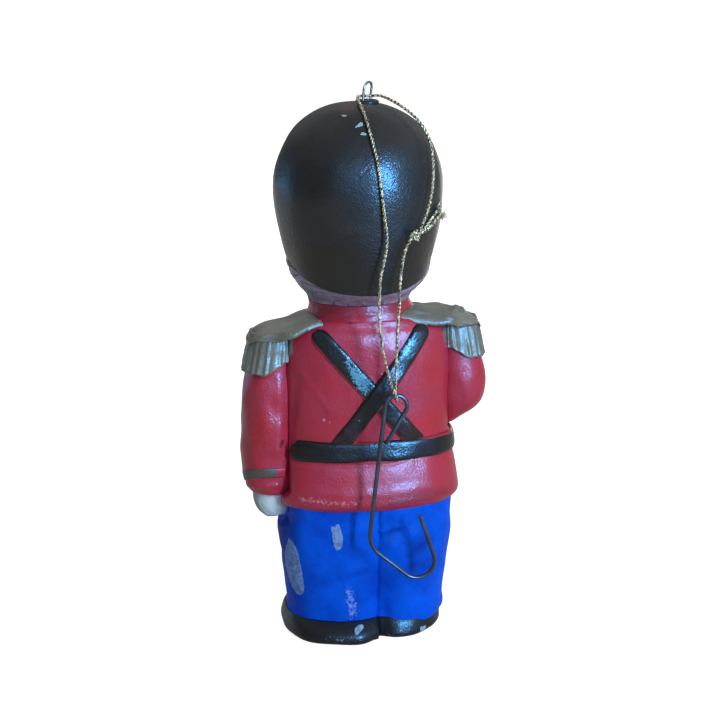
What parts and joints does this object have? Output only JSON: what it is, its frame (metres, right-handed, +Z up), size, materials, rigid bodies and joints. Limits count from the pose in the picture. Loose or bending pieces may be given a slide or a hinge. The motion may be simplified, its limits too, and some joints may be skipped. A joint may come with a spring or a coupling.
{
  "type": "toy soldier ornament",
  "caption": "Cast and painted toy soldier in a tall dome hat, with a hanging eye in the crown, a knotted thread loop and a bent wire hook.",
  "frame": {"origin": "middle of the underside of the boots, on the surface that the figure stands on", "axes": "+Z up; the figure faces -Y, so its back is towards +Y and its left arm towards +X"},
  "size_m": [0.056, 0.0397, 0.1244],
  "materials": {
    "hat_black": "glossy black paint, hand brushed, chipped to a pale ground in a few places",
    "plug_black": "dull black plug that closes the pouring hole",
    "eye_wire": "tarnished thin wire",
    "skin_paint": "glossy skin-coloured paint",
    "hair_paint": "satin mauve-grey paint over moulded locks",
    "red_paint": "glossy crimson paint, worn brown along the raised edges",
    "cuff_paint": "brownish grey paint",
    "glove_paint": "off-white paint",
    "pewter_paint": "dull pewter-coloured metallic paint",
    "strap_black": "glossy black paint on raised straps",
    "blue_paint": "glossy bright blue paint",
    "boot_black": "glossy black paint, chipped at the edges",
    "gold_thread": "twisted two-ply metallic gold thread",
    "hook_wire": "dark steel wire, slightly tarnished"
  },
  "bodies": {
    "figure": {"hat": "hat_black", "hanger_plug": "plug_black", "hanger_eye": "eye_wire", "head": "skin_paint", "hair": "hair_paint", "collar": "red_paint", "tunic": "red_paint", "tunic_skirt": "red_paint", "left_sleeve": "red_paint", "right_sleeve": "red_paint", "right_forearm": "red_paint", "left_cuff_band": "cuff_paint", "right_cuff_band": "cuff_paint", "left_hand": "glove_paint", "right_hand": "glove_paint", "left_epaulette": "pewter_paint", "right_epaulette": "pewter_paint", "left_fringe": "pewter_paint", "right_fringe": "pewter_paint", "cross_strap_over": "strap_black", "cross_strap_under": "strap_black", "front_strap_over": "strap_black", "front_strap_under": "strap_black", "belt": "strap_black", "belt_buckle": "pewter_paint", "tunic_buttons": "pewter_paint", "left_trouser_leg": "blue_paint", "right_trouser_leg": "blue_paint", "left_boot": "boot_black", "right_boot": "boot_black"},
    "loop": {"thread_loop": "gold_thread", "thread_knot": "gold_thread"},
    "hook": {"wire_hook": "hook_wire"}
  },
  "joints": [
    {"name": "loop_swing", "type": "hinge", "parent": "figure", "child": "loop", "pos_m": [-0.0006, 0, 0.1211], "axis": [1, 0, 0], "range_deg": [0, 165]},
    {"name": "hook_swing", "type": "hinge", "parent": "loop", "child": "hook", "pos_m": [-0.0036, 0.0194, 0.0584], "axis": [0, 1, 0], "range_deg": [-75, 75]}
  ]
}
